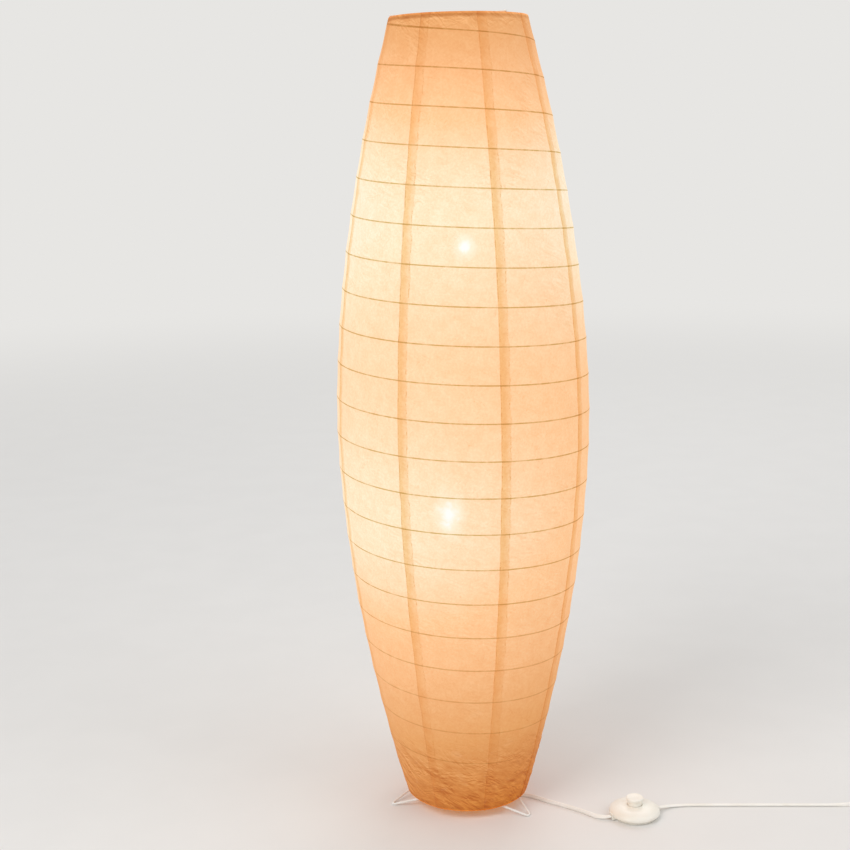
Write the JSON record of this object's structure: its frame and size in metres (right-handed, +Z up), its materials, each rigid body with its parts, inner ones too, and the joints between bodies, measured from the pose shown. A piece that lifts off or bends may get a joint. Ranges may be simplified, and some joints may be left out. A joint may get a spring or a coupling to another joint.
{
  "type": "paper lantern floor lamp",
  "caption": "Tall barrel-shaped paper lantern on a wire-footed stand with bulbs inside, a foot switch on its cord and a flat plug.",
  "frame": {"origin": "on the floor, on the axis of the pole", "axes": "+Z up the pole; the front faces -Y; the cord lies towards +X"},
  "size_m": [0.8363, 0.3667, 1.1068],
  "materials": {
    "washi_paper": "handmade paper with fibres, lit from inside",
    "rib_wire": "brown varnished wire",
    "shade_wire": "white coated wire",
    "white_wire": "white powder coated wire",
    "white_paint": "white powder coat",
    "holder_plastic": "ivory moulded",
    "brass": "plain",
    "bulb_glass": "frosted, glowing warm",
    "bulb_cap_metal": "rolled thread",
    "zinc_steel": "zinc plated",
    "nickel_pins": "nickel plated",
    "cord_sheath": "satin soft sheath",
    "stand_plastic": "satin",
    "switch_plastic": "satin gloss",
    "plug_plastic": "satin gloss"
  },
  "bodies": {
    "stand": {"base_ring": "white_wire", "foot_right": "white_wire", "foot_rear": "white_wire", "foot_left": "white_wire", "spokes": "white_wire", "hub": "white_paint", "lower_pole": "white_paint", "pole_coupler": "zinc_steel", "upper_pole": "white_paint", "lower_bracket": "white_paint", "lower_holder_cap": "holder_plastic", "lower_holder_skirt": "holder_plastic", "lower_holder_sleeve": "brass", "lower_holder_contact": "brass", "upper_bracket": "white_paint", "upper_holder_cap": "holder_plastic", "upper_holder_skirt": "holder_plastic", "upper_holder_sleeve": "brass", "upper_holder_contact": "brass", "clamp_screws": "zinc_steel", "nipples": "zinc_steel", "nipple_nuts": "zinc_steel", "base_lead": "cord_sheath", "lower_lead": "cord_sheath", "upper_lead": "cord_sheath", "splice_box": "stand_plastic", "lead_bands": "stand_plastic", "cord_grip": "stand_plastic", "cord_to_switch": "cord_sheath", "switch_base": "switch_plastic", "switch_cover": "switch_plastic", "switch_spring": "zinc_steel", "switch_screws": "zinc_steel", "switch_contacts": "brass", "cord_to_plug": "cord_sheath", "cord_coil": "cord_sheath", "plug_body": "plug_plastic", "plug_pins": "nickel_pins"},
    "shade": {"paper_gore_1": "washi_paper", "paper_gore_2": "washi_paper", "paper_gore_3": "washi_paper", "paper_gore_4": "washi_paper", "paper_gore_5": "washi_paper", "paper_gore_6": "washi_paper", "paper_gore_7": "washi_paper", "paper_gore_8": "washi_paper", "rib_wire": "rib_wire", "top_ring": "shade_wire", "bottom_ring": "shade_wire", "top_spider": "shade_wire"},
    "finial": {"finial_nut": "white_paint"},
    "lower_bulb": {"lower_bulb_glass": "bulb_glass", "lower_bulb_cap": "bulb_cap_metal"},
    "upper_bulb": {"upper_bulb_glass": "bulb_glass", "upper_bulb_cap": "bulb_cap_metal"},
    "button": {"switch_button": "switch_plastic"}
  },
  "joints": [
    {"name": "shade_lift", "type": "slide", "parent": "stand", "child": "shade", "axis": [0, 0, 1], "range_m": [0, 1.12]},
    {"name": "finial_off", "type": "slide", "parent": "shade", "child": "finial", "axis": [0, 0, 1], "range_m": [0, 0.03]},
    {"name": "lower_bulb_out", "type": "slide", "parent": "stand", "child": "lower_bulb", "axis": [0, 0, 1], "range_m": [0, 0.035]},
    {"name": "upper_bulb_out", "type": "slide", "parent": "stand", "child": "upper_bulb", "axis": [0, 0, 1], "range_m": [0, 0.035]},
    {"name": "button_press", "type": "slide", "parent": "stand", "child": "button", "axis": [0, 0, -1], "range_m": [0, 0.003], "stiffness_N_per_m": 800, "springref_m": -0.003, "deforming": ["switch_spring"]}
  ]
}
